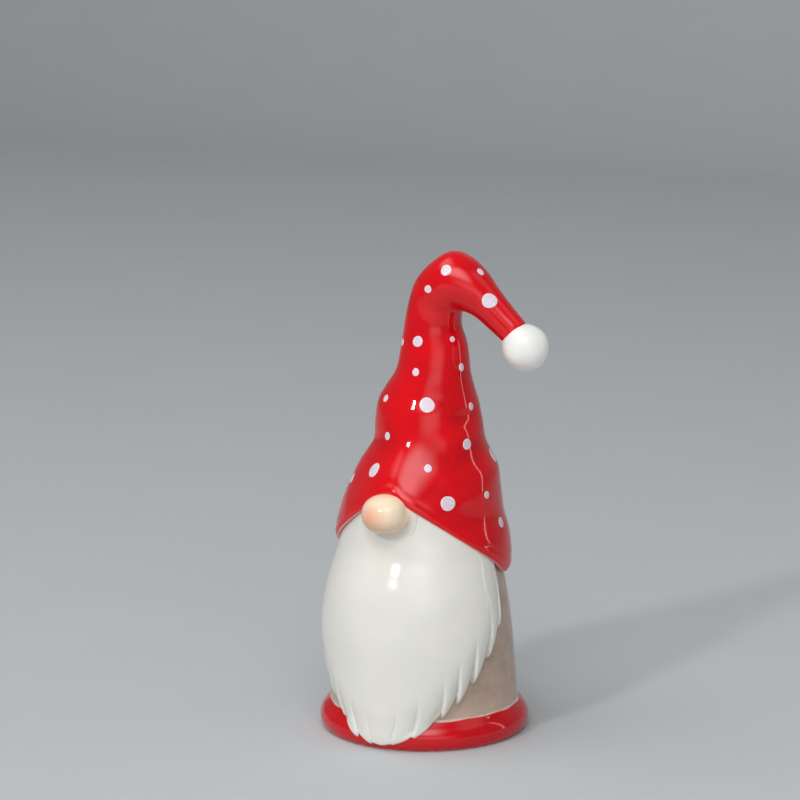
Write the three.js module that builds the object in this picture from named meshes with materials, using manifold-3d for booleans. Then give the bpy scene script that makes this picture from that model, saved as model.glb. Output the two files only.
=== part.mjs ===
// A drooping-hat gnome ornament in glazed earthenware, 150 mm tall.
//
// Millimetres, +Z up. The pieces are shaped around the coat's upright axis, with the gnome
// facing -Y and its hat bending over towards +X. The finished group is then shifted so that
// its origin is at the middle of its bounding box's underside.
//
// Directions around the figure are bearings in degrees: 0 is straight ahead (-Y) and 90 is
// the side that the hat bends to (+X).

import * as THREE from "three";
import { mergeVertices } from "three/addons/utils/BufferGeometryUtils.js";
import Module from "manifold-3d";

const wasm = await Module();
wasm.setup();

// ---------------------------------------------------------------- driving dimensions

const GAP = 0.3;                    // between pieces that touch
const CUT_DEPTH = 1.5;              // how far a piece reaches into the coat before it is cut to it
const ROUND_STEPS = 48;             // facets once around the figure
const BALL_STEPS = 24;              // facets once around a small round piece

const COAT = {
  footRadius: 29.3,                 // where the coat would meet the table
  taper: 4.8,                       // radius lost over the first taperHeight, as a parabola
  taperHeight: 50.0,
  top: 74.0,                        // hidden inside the hat
  wall: 3.0,
  seatRadius: 27.6,                 // the upright band that the hem wraps
  floorRecess: 1.5,                 // from the table to the underside of the floor
  floorThickness: 3.0,
  drainRadius: 6.0,
};

const HEM = {
  radius: 32.4,                     // at its widest
  widestHeight: 3.9,
  height: 9.6,                      // where it meets the coat
  underRadius: 30.4,                // outer edge of the part that rests on the table
};

const BRIM = {
  backHeight: 48.0,
  slope: 0.30,                      // rise towards the face, in mm for each degree
  startBearing: 103.0,              // where that rise begins, on either side
  startSoftness: 12.0,              // degrees over which it begins
  peakSoftness: 5.0,                // degrees over which it turns over above the nose
  flare: 3.8,                       // how far the nose pushes the brim forwards
  flareWidth: 34.0,                 // degrees
  flareHeight: 11.0,
};

const LIP = {                       // the rounded lower edge of the brim
  frontDepth: 1.4,
  backDepth: 2.6,
  frontHeight: 3.0,
  backHeight: 4.6,
  turnBearing: 88.0,                // where the front lip becomes the back one
  turnWidth: 14.0,
};

// The hat up to its neck: height, how far its middle is off the axis along X, and radius.
const HAT_SIDE = [
  [46.0, 0.0, 26.9],
  [56.0, 0.0, 27.1],
  [62.5, -0.7, 26.9],
  [69.0, -0.9, 25.3],
  [76.5, 0.0, 23.6],
  [83.5, 1.3, 21.5],
  [91.0, 1.8, 17.4],
  [97.0, 1.4, 16.6],
  [103.0, 1.2, 15.6],
  [108.5, 1.9, 13.3],
  [112.5, 3.0, 11.3],
  [118.0, 3.3, 10.9],
];

const NECK_HEIGHT = HAT_SIDE[HAT_SIDE.length - 1][0];

// The neck, the fold and the drooping tip. Each station is the middle's x and z, the way it
// leads (degrees from straight up, over towards +X), and the section's radius in the plane of
// the bend and across it.
const HAT_BEND = [
  [3.3, 118.0, 0, 10.9, 10.9],
  [3.2, 122.0, -2, 10.1, 10.2],
  [2.8, 126.5, -3, 8.9, 9.4],
  [3.5, 132.2, 10, 8.4, 9.0],
  [4.8, 136.2, 33, 8.4, 9.0],
  [7.5, 139.2, 58, 8.6, 9.0],
  [11.0, 140.9, 84, 9.15, 8.8],
  [15.6, 138.6, 116, 7.6, 7.6],
  [20.4, 135.0, 131, 5.8, 5.9],
  [25.5, 130.2, 134, 5.0, 5.0],
  [29.0, 127.0, 134, 4.6, 4.6],
];
const TIP_START = 8;                // the station where the hollow hat ends and its tip begins

const HAT_WALL = 3.2;
const HAT_CAVITY_START = 70.0;      // the hat's own hollow, above the coat's open top
const HAT_CAVITY_END = 118.0;

const BEARD = {
  tipHeight: 1.6,
  edgeRise: 0.0245,                 // the lower edge climbs as edgeRise * bearing ^ edgePower
  edgePower: 1.665,
  halfWidth: 84.0,                  // degrees
  topLimit: 75.0,                   // behind the nose
  edgeThickness: 0.8,
  edgeRound: 11.0,                  // over how far it swells to its full thickness
};

// The beard's outer radius straight ahead and at its sides: height, front, side.
const BEARD_PROFILE = [
  [0.0, 33.4, 30.6],
  [10.0, 33.8, 31.0],
  [22.0, 34.1, 31.7],
  [34.0, 34.2, 31.8],
  [43.0, 33.3, 30.4],
  [51.0, 31.0, 28.3],
  [59.0, 27.9, 25.8],
  [66.0, 26.2, 25.3],
  [76.0, 25.6, 25.4],
];

const NOSE = { y: -27.0, z: 72.4, width: 7.2, depth: 7.0, height: 6.9 };

// The pompom is a ball, drawn out a little on the side of its seat against the hat's tip.
const POMPOM = { x: 33.7, z: 121.9, radius: 7.1, reach: 8.0, seat: 6.5 };

// ---------------------------------------------------------------- materials

const glaze = (color, roughness) => new THREE.MeshStandardMaterial({ color, roughness, metalness: 0 });
const redGlaze = glaze(0xc8102e, 0.12);
const whiteGlaze = glaze(0xe9e7e0, 0.15);
const coatGlaze = glaze(0xb3a49a, 0.2);
const noseGlaze = glaze(0xe8b996, 0.15);

// ---------------------------------------------------------------- numbers

const radians = THREE.MathUtils.degToRad;

// A smooth curve through rows of [position, value, value, ...], flat beyond its ends.
function through(rows, position) {
  const last = rows.length - 1;
  if (position <= rows[0][0]) return rows[0].slice(1);
  if (position >= rows[last][0]) return rows[last].slice(1);
  let i = 0;
  while (rows[i + 1][0] < position) i += 1;
  const span = rows[i + 1][0] - rows[i][0];
  const t = (position - rows[i][0]) / span;
  const slope = (k, c) => {
    const low = Math.max(k - 1, 0);
    const high = Math.min(k + 1, last);
    return (rows[high][c] - rows[low][c]) / (rows[high][0] - rows[low][0]);
  };
  const values = [];
  for (let c = 1; c < rows[0].length; c += 1) {
    const a = rows[i][c];
    const b = rows[i + 1][c];
    const h = t * t * (3 - 2 * t);
    values.push(a + (b - a) * h + span * (slope(i, c) * t * (1 - t) ** 2 - slope(i + 1, c) * t * t * (1 - t)));
  }
  return values;
}

// The height from 0 to depth of a quarter round, at a distance in from its edge.
const quarterRound = (distance, depth) => {
  const t = Math.min(Math.max(distance / depth, 0), 1);
  return Math.sqrt(1 - (1 - t) ** 2);
};

// ---------------------------------------------------------------- the figure's outlines

const coatRadius = (z) => COAT.footRadius - COAT.taper * (z / COAT.taperHeight) ** 2;

// The hem is one quarter of an ellipse above its widest height and one below it.
function hemRadius(z) {
  const above = z > HEM.widestHeight;
  const inner = above ? coatRadius(HEM.height) : HEM.underRadius;
  const reach = above ? HEM.height - HEM.widestHeight : HEM.widestHeight;
  const t = Math.min(Math.abs(z - HEM.widestHeight) / reach, 1);
  return inner + (HEM.radius - inner) * Math.sqrt(1 - t * t);
}

const bodyRadius = (z) => (z < HEM.height ? hemRadius(z) : coatRadius(z));

const hemHeights = () => steps(9, 0, HEM.height - 2 * GAP);

function brimHeight(bearing) {
  const rise = BRIM.startBearing - Math.hypot(bearing, BRIM.peakSoftness);
  return BRIM.backHeight + (BRIM.slope * (rise + Math.hypot(rise, BRIM.startSoftness))) / 2;
}

// How far the nose pushes the brim out, at a bearing and a height above the brim's edge.
function brimFlare(bearing, above) {
  const sideways = Math.exp(-((bearing / BRIM.flareWidth) ** 2));
  return BRIM.flare * sideways * Math.exp(-((above / BRIM.flareHeight) ** 2));
}

// The lip's depth and height, which grow from the front to the back.
function lipAt(bearing) {
  const back = 1 / (1 + Math.exp((LIP.turnBearing - Math.abs(bearing)) / (LIP.turnWidth / 4)));
  return {
    depth: LIP.frontDepth + (LIP.backDepth - LIP.frontDepth) * back,
    height: LIP.frontHeight + (LIP.backHeight - LIP.frontHeight) * back,
  };
}

// A point on the hat below its neck, inset from its surface. The bearing is taken around the
// figure's axis at the brim, and around the hat's own middle by the time it reaches the neck.
function hatSidePoint(bearing, z, inset) {
  const [middle, radius] = through(HAT_SIDE, z);
  const above = z - brimHeight(bearing);
  const share = THREE.MathUtils.clamp(above / (NECK_HEIGHT - brimHeight(bearing)), 0, 1);
  const hub = middle * share;
  const [sine, cosine] = [Math.sin(radians(bearing)), Math.cos(radians(bearing))];
  const offset = middle - hub;
  const chord = offset * sine + Math.sqrt(radius ** 2 - (offset * cosine) ** 2);
  const reach = chord + brimFlare(bearing, above) - inset;
  return new THREE.Vector3(hub + reach * sine, -reach * cosine, z);
}

// A point on the hat's bend at a station number that may lie between two stations.
function hatBendPoint(station, bearing, inset) {
  const [x, z, lead, inPlane, across] = through(HAT_BEND.map((row, i) => [i, ...row]), station);
  const sideways = (inPlane - inset) * Math.sin(radians(bearing));
  return new THREE.Vector3(
    x + sideways * Math.cos(radians(lead)),
    -(across - inset) * Math.cos(radians(bearing)),
    z - sideways * Math.sin(radians(lead)),
  );
}

function stationSpacing(station) {
  const [here, next] = [HAT_BEND[station], HAT_BEND[station + 1]];
  return Math.hypot(next[0] - here[0], next[1] - here[1]);
}

const beardEdge = (bearing) => BEARD.tipHeight + BEARD.edgeRise * Math.abs(bearing) ** BEARD.edgePower;

const beardTop = (bearing) => Math.min(brimHeight(bearing), BEARD.topLimit) - GAP;

function beardRadius(bearing, z) {
  const [front, side] = through(BEARD_PROFILE, z);
  const full = side + (front - side) * Math.cos(radians(bearing)) ** 2;
  const mmPerDegree = radians(coatRadius(z));
  const edgeSlope = (BEARD.edgeRise * BEARD.edgePower * Math.abs(bearing) ** (BEARD.edgePower - 1)) / mmPerDegree;
  const fromBelow = (z - beardEdge(bearing)) / Math.hypot(1, edgeSlope);
  const fromSide = (BEARD.halfWidth - Math.abs(bearing)) * mmPerDegree;
  const swell = quarterRound(Math.min(fromBelow, fromSide), BEARD.edgeRound);
  const rim = bodyRadius(z) + BEARD.edgeThickness;
  return rim + Math.max(full - rim, 0) * swell;
}

// ---------------------------------------------------------------- solids

const polar = (bearing, radius, z) =>
  new THREE.Vector3(radius * Math.sin(radians(bearing)), -radius * Math.cos(radians(bearing)), z);

// Where a piece that is about to be cut to the coat starts, a little inside it.
const insideCoat = (bearing, z) => polar(bearing, coatRadius(z) - CUT_DEPTH, z);

const bearings = (count) => Array.from({ length: count }, (_, i) => (360 * i) / count - 180);

const steps = (count, from, to) => Array.from({ length: count + 1 }, (_, i) => from + ((to - from) * i) / count);

// A closed skin over rings of equal length, each closed at its ends by a fan.
function loft(rings) {
  const count = rings[0].length;
  const points = rings.flat();
  const middle = (ring) => ring.reduce((sum, p) => sum.add(p), new THREE.Vector3()).divideScalar(count);
  const first = points.push(middle(rings[0])) - 1;
  const last = points.push(middle(rings[rings.length - 1])) - 1;
  const index = [];
  for (let i = 0; i < count; i += 1) {
    const next = (i + 1) % count;
    for (let r = 0; r < rings.length - 1; r += 1) {
      const a = r * count;
      const b = a + count;
      index.push(a + i, a + next, b + next, a + i, b + next, b + i);
    }
    const top = (rings.length - 1) * count;
    index.push(first, next, i, last, top + i, top + next);
  }
  const geometry = new THREE.BufferGeometry().setFromPoints(points);
  geometry.setIndex(index);
  return geometry;
}

// A profile of [radius, height] turned about the Z axis.
function turned(profile, count = ROUND_STEPS) {
  const points = profile.map(([r, z]) => new THREE.Vector2(r, z));
  return new THREE.LatheGeometry(points, count).rotateX(Math.PI / 2);
}

function toSolid(geometry) {
  const bare = geometry.clone();
  bare.deleteAttribute("normal");
  bare.deleteAttribute("uv");
  const merged = mergeVertices(bare, 1e-4);
  const corners = [];
  for (let i = 0; i < merged.index.count; i += 3) {
    const [a, b, c] = [0, 1, 2].map((k) => merged.index.getX(i + k));
    if (a !== b && b !== c && c !== a) corners.push(a, b, c);
  }
  return new wasm.Manifold(
    new wasm.Mesh({
      numProp: 3,
      vertProperties: new Float32Array(merged.attributes.position.array),
      triVerts: new Uint32Array(corners),
    }),
  );
}

function piece(name, solid, material) {
  const mesh = solid.getMesh();
  const geometry = new THREE.BufferGeometry();
  geometry.setAttribute("position", new THREE.BufferAttribute(mesh.vertProperties, 3));
  geometry.setIndex(new THREE.BufferAttribute(mesh.triVerts, 1));
  geometry.computeVertexNormals();
  const part = new THREE.Mesh(geometry, material);
  part.name = name;
  return part;
}

// The space that the coat and its hem take up, grown by the gap, for the pieces around them.
function bodyClearance() {
  const side = [...hemHeights(), ...steps(8, HEM.height, COAT.top)];
  const outline = side.map((z) => [bodyRadius(z) + GAP, z]);
  const top = COAT.top + 2;
  return toSolid(turned([[0, -5], [HEM.underRadius + GAP, -5], ...outline, [coatRadius(top) + GAP, top], [0, top]]));
}

// ---------------------------------------------------------------- the pieces

function coatShell() {
  const shoulder = HEM.height;
  const outside = steps(8, shoulder, COAT.top).map((z) => [coatRadius(z), z]);
  const floorTop = COAT.floorRecess + COAT.floorThickness;
  const inside = steps(4, COAT.top, shoulder).map((z) => [coatRadius(z) - COAT.wall, z]);
  const footInner = COAT.seatRadius - COAT.wall;
  const profile = [
    [COAT.seatRadius, 0],
    [COAT.seatRadius, shoulder - GAP],
    ...outside,
    ...inside,
    [footInner, floorTop],
    [COAT.drainRadius, floorTop],
    [COAT.drainRadius, COAT.floorRecess],
    [footInner, COAT.floorRecess],
    [footInner, 0],
    [COAT.seatRadius, 0],
  ];
  return toSolid(turned(profile));
}

function hemRoll() {
  const inner = COAT.seatRadius + GAP;
  const heights = hemHeights();
  const outside = heights.map((z) => [hemRadius(z), z]);
  return toSolid(turned([[inner, 0], ...outside, [inner, heights[heights.length - 1]], [inner, 0]]));
}

function noseBall(extra) {
  const ball = new THREE.SphereGeometry(1, BALL_STEPS, 16);
  ball.scale(NOSE.width + extra, NOSE.depth + extra, NOSE.height + extra);
  return toSolid(ball.translate(0, NOSE.y, NOSE.z));
}

function beardRelief(clearance, socket) {
  const rows = 15;
  const sections = steps(38, -BEARD.halfWidth, BEARD.halfWidth).map((bearing) => {
    const heights = steps(rows, beardTop(bearing), beardEdge(bearing));
    const outer = heights.map((z) => polar(bearing, beardRadius(bearing, z), z));
    const inner = [heights[rows], heights[0]].map((z) => insideCoat(bearing, z));
    return [...outer, ...inner];
  });
  return toSolid(loft(sections)).subtract(clearance).subtract(socket);
}

function hatShell(clearance, socket) {
  const round = bearings(ROUND_STEPS);
  const underside = [0, 0.5].map((t) =>
    round.map((bearing) => {
      const z = brimHeight(bearing);
      return insideCoat(bearing, z).lerp(hatSidePoint(bearing, z, lipAt(bearing).depth), t);
    }),
  );
  const lipRings = steps(4, 0, 1).map((t) =>
    round.map((bearing) => {
      const lip = lipAt(bearing);
      const inset = lip.depth * (1 - quarterRound(t, 1));
      return hatSidePoint(bearing, brimHeight(bearing) + t * lip.height, inset);
    }),
  );
  const sideRings = steps(13, 0, 1).slice(1).map((t) =>
    round.map((bearing) => {
      const start = brimHeight(bearing) + lipAt(bearing).height;
      return hatSidePoint(bearing, start + t * (NECK_HEIGHT - start), 0);
    }),
  );
  const bendRings = steps(2 * TIP_START, 0, TIP_START).slice(1).map((station) =>
    round.map((bearing) => hatBendPoint(station, bearing, 0)),
  );
  const cavity = steps(8, HAT_CAVITY_START, HAT_CAVITY_END).map((z) =>
    bearings(BALL_STEPS).map((bearing) => hatSidePoint(bearing, z, HAT_WALL)),
  );
  return toSolid(loft([...underside, ...lipRings, ...sideRings, ...bendRings]))
    .subtract(toSolid(loft(cavity)))
    .subtract(clearance)
    .subtract(socket);
}

function hatTip() {
  const end = HAT_BEND.length - 1;
  const start = TIP_START + GAP / stationSpacing(TIP_START);
  const rings = steps(6, start, end).map((station) =>
    bearings(BALL_STEPS).map((bearing) => hatBendPoint(station, bearing, 0)),
  );
  return toSolid(loft(rings));
}

function pompomBall() {
  const radiusAt = (z) => POMPOM.radius * Math.sqrt(1 - (z / (z > 0 ? POMPOM.reach : POMPOM.radius)) ** 2);
  const under = steps(7, 0, Math.PI / 2).map((angle) => -POMPOM.radius * Math.cos(angle));
  const over = steps(6, 0, POMPOM.seat).slice(1);
  const side = [...under.slice(1), ...over].map((z) => [radiusAt(z), z]);
  const [, , lead] = HAT_BEND[HAT_BEND.length - 1];
  const ball = turned([[0, -POMPOM.radius], ...side, [0, POMPOM.seat]], BALL_STEPS);
  return toSolid(ball.rotateY(radians(lead + 180)).translate(POMPOM.x, 0, POMPOM.z));
}

// ---------------------------------------------------------------- the gnome

const clearance = bodyClearance();
const socket = noseBall(GAP);

const figure = new THREE.Group();
figure.add(piece("coat_shell", coatShell(), coatGlaze));
figure.add(piece("hem_roll", hemRoll(), redGlaze));
figure.add(piece("beard", beardRelief(clearance, socket), whiteGlaze));
figure.add(piece("nose", noseBall(0), noseGlaze));
figure.add(piece("hat_shell", hatShell(clearance, socket), redGlaze));
figure.add(piece("hat_tip", hatTip(), redGlaze));
figure.add(piece("pompom", pompomBall(), whiteGlaze));

const box = new THREE.Box3().setFromObject(figure, true);
const middle = box.getCenter(new THREE.Vector3());
figure.position.set(-middle.x, -middle.y, -box.min.z);

const gnome = new THREE.Group();
gnome.add(figure);

export default gnome;
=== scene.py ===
# A glazed earthenware gnome ornament with a drooping, dotted hat, on a pale studio sweep.
#
# Shapes are worked out in millimetres around the coat's upright axis, with the gnome facing -Y
# and its hat bending over towards +X. row_frame() turns such points into the CAD's frame, in
# metres. Directions around the figure are bearings in degrees: 0 is straight ahead (-Y) and 90
# is the side that the hat bends to (+X).

import math

import bmesh
import bpy
import numpy as np
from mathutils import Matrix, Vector
from mathutils.bvhtree import BVHTree


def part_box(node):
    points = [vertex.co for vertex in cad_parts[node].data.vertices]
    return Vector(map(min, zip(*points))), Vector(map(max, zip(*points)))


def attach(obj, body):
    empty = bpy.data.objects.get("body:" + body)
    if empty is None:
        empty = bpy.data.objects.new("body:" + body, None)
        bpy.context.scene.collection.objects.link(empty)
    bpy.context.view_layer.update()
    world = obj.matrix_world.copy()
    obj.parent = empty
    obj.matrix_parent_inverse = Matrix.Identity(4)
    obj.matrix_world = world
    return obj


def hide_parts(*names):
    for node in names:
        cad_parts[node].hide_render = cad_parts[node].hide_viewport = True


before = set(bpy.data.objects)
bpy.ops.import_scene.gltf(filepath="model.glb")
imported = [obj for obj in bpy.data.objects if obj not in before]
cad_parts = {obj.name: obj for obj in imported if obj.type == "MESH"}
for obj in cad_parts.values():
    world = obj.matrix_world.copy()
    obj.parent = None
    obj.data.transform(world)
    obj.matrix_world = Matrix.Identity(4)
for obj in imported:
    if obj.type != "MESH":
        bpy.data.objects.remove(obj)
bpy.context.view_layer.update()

# ---------------------------------------------------------------- places, from the frame

MM = 0.001                       # metres


def box_mm(node):
    """A CAD node's lowest and highest corners, in mm."""
    return [np.array(corner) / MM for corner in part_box(node)]


HEM_LOW, HEM_HIGH = box_mm("hem_roll")
AXIS = (HEM_LOW + HEM_HIGH) / 2 * (1, 1, 0)
NOSE_LOW, NOSE_HIGH = [corner - AXIS for corner in box_mm("nose")]
NOSE_SHIFT = (-0.7, 0, 0.4)      # mm, from the middle of the CAD's ball
NOSE_MIDDLE = (NOSE_LOW + NOSE_HIGH) / 2 + NOSE_SHIFT
NOSE_RADII = (NOSE_HIGH - NOSE_LOW) / 2
POMPOM_LOW, POMPOM_HIGH = [corner - AXIS for corner in box_mm("pompom")]

# ---------------------------------------------------------------- sizes, in mm

COAT = {
    "foot_radius": 29.3,         # where the coat would meet the table
    "taper": 4.8,                # radius lost over the first taper_height, as a parabola
    "taper_height": 50.0,
    "top": 74.0,                 # hidden inside the hat
    "wall": 3.0,
    "seat_radius": 27.6,         # the upright band that the hem wraps
    "floor_recess": 1.5,
    "floor_thickness": 3.0,
    "drain_radius": 6.0,
}

HEM = {
    "radius": (HEM_HIGH[0] - HEM_LOW[0]) / 2,
    "widest_height": 3.5,
    "height": 8.7,               # where it meets the coat
    "shoulder": 0.95,            # 0.5 for a quarter round, more for a shoulder that falls away
    "under_radius": 30.4,        # outer edge of the part that rests on the table
    "fillet": 1.6,               # how softly the coat runs out over it
    "glaze": 0.14,               # how thick the red glaze lies on the roll
    "line": 9.0,                 # the height at which that glaze ends, at the coat's foot
    "line_waver": 0.38,
    "bare": 0.45,                # the wiped edge above the table
}

BRIM = {
    "back_height": 48.0,
    "slope": 0.30,               # rise towards the face, in mm for each degree
    "start_bearing": 103.0,
    "start_softness": 12.0,
    "peak_softness": 5.0,
    "flare": 3.8,                # how far the nose pushes the brim forwards
    "flare_width": 34.0,
    "flare_height": 11.0,
    "over_nose": -1.45,          # how far the brim clears the nose
    "arch_softness": 0.8,
}

LIP = {
    "front_depth": 1.1,
    "back_depth": 2.6,
    "front_height": 2.4,
    "back_height": 4.6,
    "turn_bearing": 88.0,
    "turn_width": 14.0,
    "crease": 0.11,              # a shallow groove above the rolled edge
    "crease_gap": 1.1,
    "crease_width": 0.95,
}

# The hat up to its neck: height, how far its middle is off the axis along X, and radius.
HAT_SIDE = [
    (46.0, 0.0, 26.9),
    (56.0, 0.0, 27.1),
    (62.5, -0.7, 26.9),
    (69.0, -0.9, 25.3),
    (76.5, 0.0, 23.6),
    (83.5, 1.3, 21.5),
    (91.0, 1.8, 17.4),
    (97.0, 1.4, 16.6),
    (103.0, 1.2, 15.6),
    (107.5, 1.8, 13.8),
    (112.5, 2.9, 11.7),
    (118.0, 3.3, 10.75),         # the neck
    (122.0, 3.2, 10.1),
]
NECK_HEIGHT = HAT_SIDE[-2][0]

# The neck, the fold and the drooping tip. Each station is the middle's x and z, the way it
# leads (degrees from straight up, over towards +X), and the section's radius in the plane of
# the bend and across it. The neck is station 0, so the first row is station -1.
HAT_BEND = [
    (2.9, 112.5, 0, 11.7, 11.7),
    (3.3, 118.0, 0, 10.75, 10.75),  # the neck
    (3.2, 122.0, -2, 10.1, 9.75),
    (2.8, 126.5, -3, 8.9, 9.0),
    (3.5, 132.2, 10, 8.4, 8.7),
    (4.8, 136.2, 33, 8.4, 8.9),
    (7.5, 139.2, 58, 8.6, 9.0),
    (11.0, 140.9, 84, 9.15, 8.8),
    (15.6, 138.6, 116, 7.6, 7.6),
    (20.4, 135.0, 131, 5.8, 5.9),
    (25.5, 130.2, 134, 5.0, 5.0),
    (29.0, 127.0, 134, 4.6, 4.6),
]
LAST_STATION = len(HAT_BEND) - 2
TIP_LEAD = HAT_BEND[-1][2]
TIP_TUCK = (1.4, 4.4)            # how far the tip runs on inside the pompom, and its radius there

# Soft dents and swells in the hat's side: height, bearing, rise, and their height and width.
HAT_DENTS = [
    (99.5, 68.0, -0.9, 3.2, 24.0),
    (94.0, 58.0, 0.5, 3.5, 22.0),
    (88.0, 72.0, -0.5, 5.0, 20.0),
    (77.0, 62.0, 0.5, 4.5, 20.0),
    (91.0, 18.0, 1.05, 4.4, 44.0),
    (82.5, 18.0, -0.35, 4.0, 44.0),
    (105.5, 18.0, -0.5, 3.6, 46.0),
    (112.5, 18.0, 0.7, 3.8, 46.0),
]

HAT_WALL = 3.2
HAT_CAVITY_END = 118.0
HAT_UNEVENNESS = 0.11
FAR = 100.0                      # mm along the hat from its edge, where no mark reaches

BEARD = {
    "tip_height": 1.6,
    "edge_rise": 0.0245,         # the lower edge climbs as edge_rise * bearing ^ edge_power
    "edge_power": 1.665,
    "half_width": 84.0,
    "top": 75.5,                 # behind the nose
    "under_brim": 2.2,           # how far it runs up inside the hat
    "below_lip": 0.85,           # how far it stays below the hat's surface there
    "lip_softness": 1.2,
    "lip_slope": 0.8,            # how fast it may stand further out below the brim
    "outline_softness": 5.0,     # where its lower edge meets its side edge
    "unevenness": 0.1,
    "over_hem": 6.0,             # how softly it runs down from the coat over the hem
    "edge_thickness": 0.75,
    "edge_round": 11.0,          # over how far it swells to its full thickness
    "edge_slope": 1.9,           # steepness of its very edge
    "sink": 0.9,                 # how far its hidden margin lies inside the coat
    "margin": 3.6,               # the width of that margin
}

# The beard's outer radius straight ahead and at its sides: height, front, side.
BEARD_PROFILE = [
    (0.0, 33.4, 30.6),
    (10.0, 33.8, 31.0),
    (22.0, 34.1, 31.7),
    (34.0, 34.2, 31.8),
    (43.0, 33.4, 30.4),
    (48.5, 32.1, 29.1),
    (54.0, 29.9, 27.4),
    (59.5, 27.6, 25.9),
    (66.0, 26.0, 25.3),
    (76.0, 25.5, 25.3),
]

# The notches below the beard's locks, going up its two sides: bearing, how far the lock's tip
# reaches out beside the notch, and how far its crest stands above the groove there.
LEFT_NOTCHES = [
    (9.2, 0.4, 1.0),
    (20.4, 0.8, 1.35),
    (34.8, 1.7, 1.25),
    (43.2, 2.3, 1.2),
    (53.4, 2.1, 0.9),
    (64.8, 2.2, 0.6),
    (76.4, 1.6, 0.25),
    (80.8, 0.4, 0.1),
]
RIGHT_NOTCHES = [
    (6.8, 1.1, 0.35),
    (16.4, 1.7, 0.45),
    (28.5, 0.3, 0.4),
    (38.0, 0.4, 0.4),
    (47.0, 0.8, 0.6),
    (58.5, 1.5, 0.9),
    (68.5, 2.2, 0.9),
    (78.0, 1.9, 0.7),
]
LOCKS = {
    "inset": 0.6,                # the share of a lock's reach by which its notch cuts in
    "tip": 0.84,                 # where across a lock its tip is
    "groove": 0.66,              # the share of its relief that is a groove
    "fade": 7.5,                 # how far up from the edge that relief reaches
    "reach_fade": 13.0,          # and how far up the outline swings in and out
    "curl": 5.6,                 # degrees that the lowest locks curl towards the beard's tip
    "curl_height": 4.5,
    "curl_bearing": 26.0,
}

NOSE_BALL = NOSE_RADII - (0.3, 0, 1.0)  # its radii: flatter than a ball, above and below
NOSE_SQUARENESS = 2.3            # 2 for an ellipsoid, more for a squarer dome
NOSE_FILLET = {
    "below": 3.8,                # how softly it runs out on the beard below
    "above": 0.7,                # and beside the brim
    "skirt": 6.2,                # how far its skin goes on over the beard
    "skirt_sink": 0.035,         # how far that skin's rim lies under the beard's surface
    "skirt_turn": 20.0,          # the degrees over which it sinks, as seen from behind the nose
    "lift": 0.02,                # how far the rest stands off the beard
}

POMPOM = {
    "radius": 7.1,
    "reach": 8.0,                # on the side of its seat against the hat's tip
    "lumps": 0.16,
}
POMPOM_MIDDLE = np.array([POMPOM_HIGH[0] - POMPOM["radius"], 0.0, POMPOM_LOW[2] + POMPOM["radius"]])

# The hat's dots, in four sizes. On the hat's side: height, bearing, radius.
LARGE_DOT = 2.3
MIDDLE_DOT = 1.7
SMALL_DOT = 1.2
TINY_DOT = 0.9
SIDE_DOTS = [
    # in front
    (114.0, -2.0, SMALL_DOT),
    (115.0, 72.0, SMALL_DOT),
    (105.0, -38.0, SMALL_DOT),
    (104.5, 24.0, LARGE_DOT),
    (102.8, 83.0, SMALL_DOT),
    (94.2, -21.5, SMALL_DOT),
    (92.2, 65.5, MIDDLE_DOT),
    (86.2, 26.0, SMALL_DOT),
    (86.5, 106.0, LARGE_DOT),
    (84.2, -22.5, LARGE_DOT),
    (79.0, -59.0, MIDDLE_DOT),
    (76.5, 77.0, SMALL_DOT),
    (75.8, 41.5, LARGE_DOT),
    (66.5, 94.5, MIDDLE_DOT),
    # behind
    (113.0, 128.0, SMALL_DOT),
    (110.0, -166.0, MIDDLE_DOT),
    (112.5, -103.0, SMALL_DOT),
    (105.5, 122.0, MIDDLE_DOT),
    (101.0, 160.0, SMALL_DOT),
    (101.5, -138.0, LARGE_DOT),
    (99.5, -90.0, SMALL_DOT),
    (94.0, 138.0, LARGE_DOT),
    (91.0, 175.0, SMALL_DOT),
    (90.0, -118.0, SMALL_DOT),
    (90.5, -66.0, SMALL_DOT),
    (85.5, -86.0, LARGE_DOT),
    (83.0, -148.0, MIDDLE_DOT),
    (81.0, 152.0, MIDDLE_DOT),
    (77.0, 122.0, SMALL_DOT),
    (74.5, -173.0, LARGE_DOT),
    (75.0, -112.0, SMALL_DOT),
    (71.0, -79.0, MIDDLE_DOT),
    (68.5, -138.0, SMALL_DOT),
    (68.5, 141.0, LARGE_DOT),
    (62.5, -107.0, LARGE_DOT),
    (61.0, 168.0, SMALL_DOT),
    (58.5, 112.0, SMALL_DOT),
    (58.0, -153.0, MIDDLE_DOT),
    (55.5, 139.0, SMALL_DOT),
    (55.0, -128.0, SMALL_DOT),
]
# On its bend: station, bearing, radius.
BEND_DOTS = [
    # in front
    (1.0, -53.0, SMALL_DOT),
    (1.25, -7.0, MIDDLE_DOT),
    (1.3, 59.0, TINY_DOT),
    (4.55, -11.5, SMALL_DOT),
    (6.0, -28.5, MIDDLE_DOT),
    (7.1, -74.0, SMALL_DOT),
    (8.2, -34.5, LARGE_DOT),
    # behind
    (1.2, 172.0, SMALL_DOT),
    (2.0, -118.0, LARGE_DOT),
    (2.6, 140.0, MIDDLE_DOT),
    (4.4, -128.0, SMALL_DOT),
    (5.2, 178.0, LARGE_DOT),
    (6.6, -142.0, SMALL_DOT),
    (7.5, 142.0, MIDDLE_DOT),
    (8.5, -150.0, SMALL_DOT),
]
DOT_RISE = 0.09
DOT_LAYERS = [                   # an enamel dab's rings: share of its radius, rise off the hat
    (0.86, -0.16),
    (1.0, -0.07),
    (1.0, 0.015),
    (0.975, 0.05),
    (0.92, 0.074),
    (0.8, DOT_RISE),
    (0.6, DOT_RISE),
    (0.35, DOT_RISE),
]
RAY_START = 0.003                # metres off the hat, from where a dot is cast on to it
RAY_REACH = 0.008

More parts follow.
